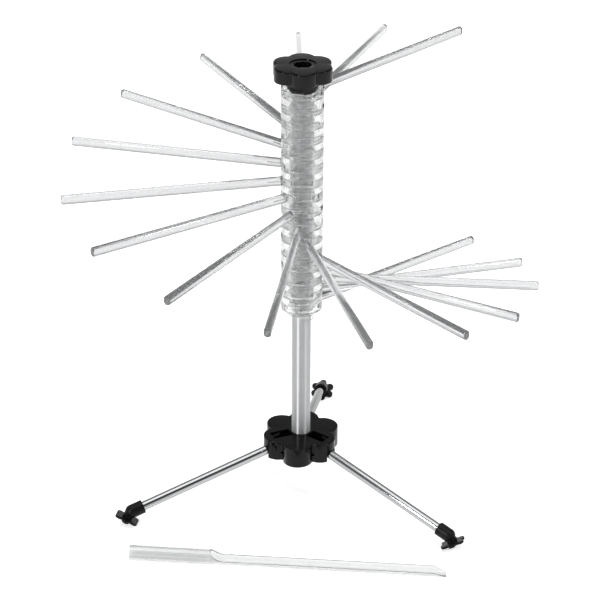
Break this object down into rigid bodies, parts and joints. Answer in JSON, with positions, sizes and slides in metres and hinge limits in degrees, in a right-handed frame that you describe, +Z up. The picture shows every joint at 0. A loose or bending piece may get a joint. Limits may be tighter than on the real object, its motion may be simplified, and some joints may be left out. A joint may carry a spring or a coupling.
{
  "type": "pasta drying rack",
  "caption": "Standing pasta drying rack: a column on three folding legs, a spiral of swinging clear arms with a turning knob above them, and a loose wand.",
  "frame": {"origin": "on the table at the foot of the column's axis", "axes": "+Z up along the column, -Y towards the viewer of the picture, +X to the viewer's right"},
  "size_m": [0.4384, 0.4424, 0.4446],
  "materials": {
    "clear_plastic": "clear moulded polycarbonate",
    "column_aluminium": "satin anodised",
    "leg_chrome": "polished",
    "black_plastic": "moulded, glossy",
    "black_rubber": "moulded, dull",
    "spring_steel": "zinc plated",
    "white_plastic": "moulded nylon"
  },
  "bodies": {
    "stand": {"tube": "column_aluminium", "hub": "black_plastic", "tube_plug": "white_plastic", "base_screw": "spring_steel", "leg_pins": "spring_steel", "stack_ring": "spring_steel", "knob_ring": "spring_steel"},
    "knob_and_arm_01": {"knob": "black_plastic", "collar_01": "clear_plastic", "arm_01": "clear_plastic"},
    "collar_and_arm_02": {"collar_02": "clear_plastic", "arm_02": "clear_plastic"},
    "collar_and_arm_03": {"collar_03": "clear_plastic", "arm_03": "clear_plastic"},
    "collar_and_arm_04": {"collar_04": "clear_plastic", "arm_04": "clear_plastic"},
    "collar_and_arm_05": {"collar_05": "clear_plastic", "arm_05": "clear_plastic"},
    "collar_and_arm_06": {"collar_06": "clear_plastic", "arm_06": "clear_plastic"},
    "collar_and_arm_07": {"collar_07": "clear_plastic", "arm_07": "clear_plastic"},
    "collar_and_arm_08": {"collar_08": "clear_plastic", "arm_08": "clear_plastic"},
    "collar_and_arm_09": {"collar_09": "clear_plastic", "arm_09": "clear_plastic"},
    "collar_and_arm_10": {"collar_10": "clear_plastic", "arm_10": "clear_plastic"},
    "collar_and_arm_11": {"collar_11": "clear_plastic", "arm_11": "clear_plastic"},
    "collar_and_arm_12": {"collar_12": "clear_plastic", "arm_12": "clear_plastic"},
    "collar_and_arm_13": {"collar_13": "clear_plastic", "arm_13": "clear_plastic"},
    "collar_and_arm_14": {"collar_14": "clear_plastic", "arm_14": "clear_plastic"},
    "collar_and_arm_15": {"collar_15": "clear_plastic", "arm_15": "clear_plastic"},
    "collar_and_arm_16": {"collar_16": "clear_plastic", "arm_16": "clear_plastic"},
    "leg_rear_folding": {"leg_rear": "leg_chrome", "foot_rear": "black_rubber"},
    "leg_left_folding": {"leg_left": "leg_chrome", "foot_left": "black_rubber"},
    "leg_right_folding": {"leg_right": "leg_chrome", "foot_right": "black_rubber"},
    "wand_loose": {"wand": "clear_plastic"}
  },
  "joints": [
    {"name": "knob_turn", "type": "hinge", "parent": "stand", "child": "knob_and_arm_01", "pos_m": [0, 0, 0.4178], "axis": [0, 0, 1], "continuous": true},
    {"name": "arm_02_swing", "type": "hinge", "parent": "knob_and_arm_01", "child": "collar_and_arm_02", "pos_m": [0, 0, 0.4035], "axis": [0, 0, 1], "range_deg": [-21.9, 5.1]},
    {"name": "arm_03_swing", "type": "hinge", "parent": "collar_and_arm_02", "child": "collar_and_arm_03", "pos_m": [0, 0, 0.3892], "axis": [0, 0, 1], "range_deg": [-22.6, 4.4]},
    {"name": "arm_04_swing", "type": "hinge", "parent": "collar_and_arm_03", "child": "collar_and_arm_04", "pos_m": [0, 0, 0.3749], "axis": [0, 0, 1], "range_deg": [-25.4, 1.6]},
    {"name": "arm_05_swing", "type": "hinge", "parent": "collar_and_arm_04", "child": "collar_and_arm_05", "pos_m": [0, 0, 0.3606], "axis": [0, 0, 1], "range_deg": [-25.3, 1.7]},
    {"name": "arm_06_swing", "type": "hinge", "parent": "collar_and_arm_05", "child": "collar_and_arm_06", "pos_m": [0, 0, 0.3463], "axis": [0, 0, 1], "range_deg": [-24.4, 2.6]},
    {"name": "arm_07_swing", "type": "hinge", "parent": "collar_and_arm_06", "child": "collar_and_arm_07", "pos_m": [0, 0, 0.332], "axis": [0, 0, 1], "range_deg": [-26.5, 0.5]},
    {"name": "arm_08_swing", "type": "hinge", "parent": "collar_and_arm_07", "child": "collar_and_arm_08", "pos_m": [0, 0, 0.3177], "axis": [0, 0, 1], "range_deg": [-21.9, 5.1]},
    {"name": "arm_09_swing", "type": "hinge", "parent": "collar_and_arm_08", "child": "collar_and_arm_09", "pos_m": [0, 0, 0.3034], "axis": [0, 0, 1], "range_deg": [-24.3, 2.7]},
    {"name": "arm_10_swing", "type": "hinge", "parent": "collar_and_arm_09", "child": "collar_and_arm_10", "pos_m": [0, 0, 0.2891], "axis": [0, 0, 1], "range_deg": [-23.6, 3.4]},
    {"name": "arm_11_swing", "type": "hinge", "parent": "collar_and_arm_10", "child": "collar_and_arm_11", "pos_m": [0, 0, 0.2748], "axis": [0, 0, 1], "range_deg": [-22.5, 4.5]},
    {"name": "arm_12_swing", "type": "hinge", "parent": "collar_and_arm_11", "child": "collar_and_arm_12", "pos_m": [0, 0, 0.2605], "axis": [0, 0, 1], "range_deg": [-25.1, 1.9]},
    {"name": "arm_13_swing", "type": "hinge", "parent": "collar_and_arm_12", "child": "collar_and_arm_13", "pos_m": [0, 0, 0.2462], "axis": [0, 0, 1], "range_deg": [-20.6, 6.4]},
    {"name": "arm_14_swing", "type": "hinge", "parent": "collar_and_arm_13", "child": "collar_and_arm_14", "pos_m": [0, 0, 0.2319], "axis": [0, 0, 1], "range_deg": [-24.8, 2.2]},
    {"name": "arm_15_swing", "type": "hinge", "parent": "collar_and_arm_14", "child": "collar_and_arm_15", "pos_m": [0, 0, 0.2176], "axis": [0, 0, 1], "range_deg": [-20.6, 6.4]},
    {"name": "arm_16_swing", "type": "hinge", "parent": "collar_and_arm_15", "child": "collar_and_arm_16", "pos_m": [0, 0, 0.2033], "axis": [0, 0, 1], "range_deg": [-23.3, 3.7]},
    {"name": "leg_rear_fold", "type": "hinge", "parent": "stand", "child": "leg_rear_folding", "pos_m": [0.00323, 0.0256, 0.05265], "axis": [-0.9921, 0.1253, 0], "range_deg": [0, 75.1]},
    {"name": "leg_left_fold", "type": "hinge", "parent": "stand", "child": "leg_left_folding", "pos_m": [-0.02378, -0.01, 0.05265], "axis": [0.3875, -0.9219, 0], "range_deg": [0, 75.1]},
    {"name": "leg_right_fold", "type": "hinge", "parent": "stand", "child": "leg_right_folding", "pos_m": [0.02055, -0.0156, 0.05265], "axis": [0.6046, 0.7965, 0], "range_deg": [0, 75.1]},
    {"name": "wand_lift", "type": "slide", "parent": "stand", "child": "wand_loose", "axis": [0, 0, 1], "range_m": [0, 0.12]}
  ]
}
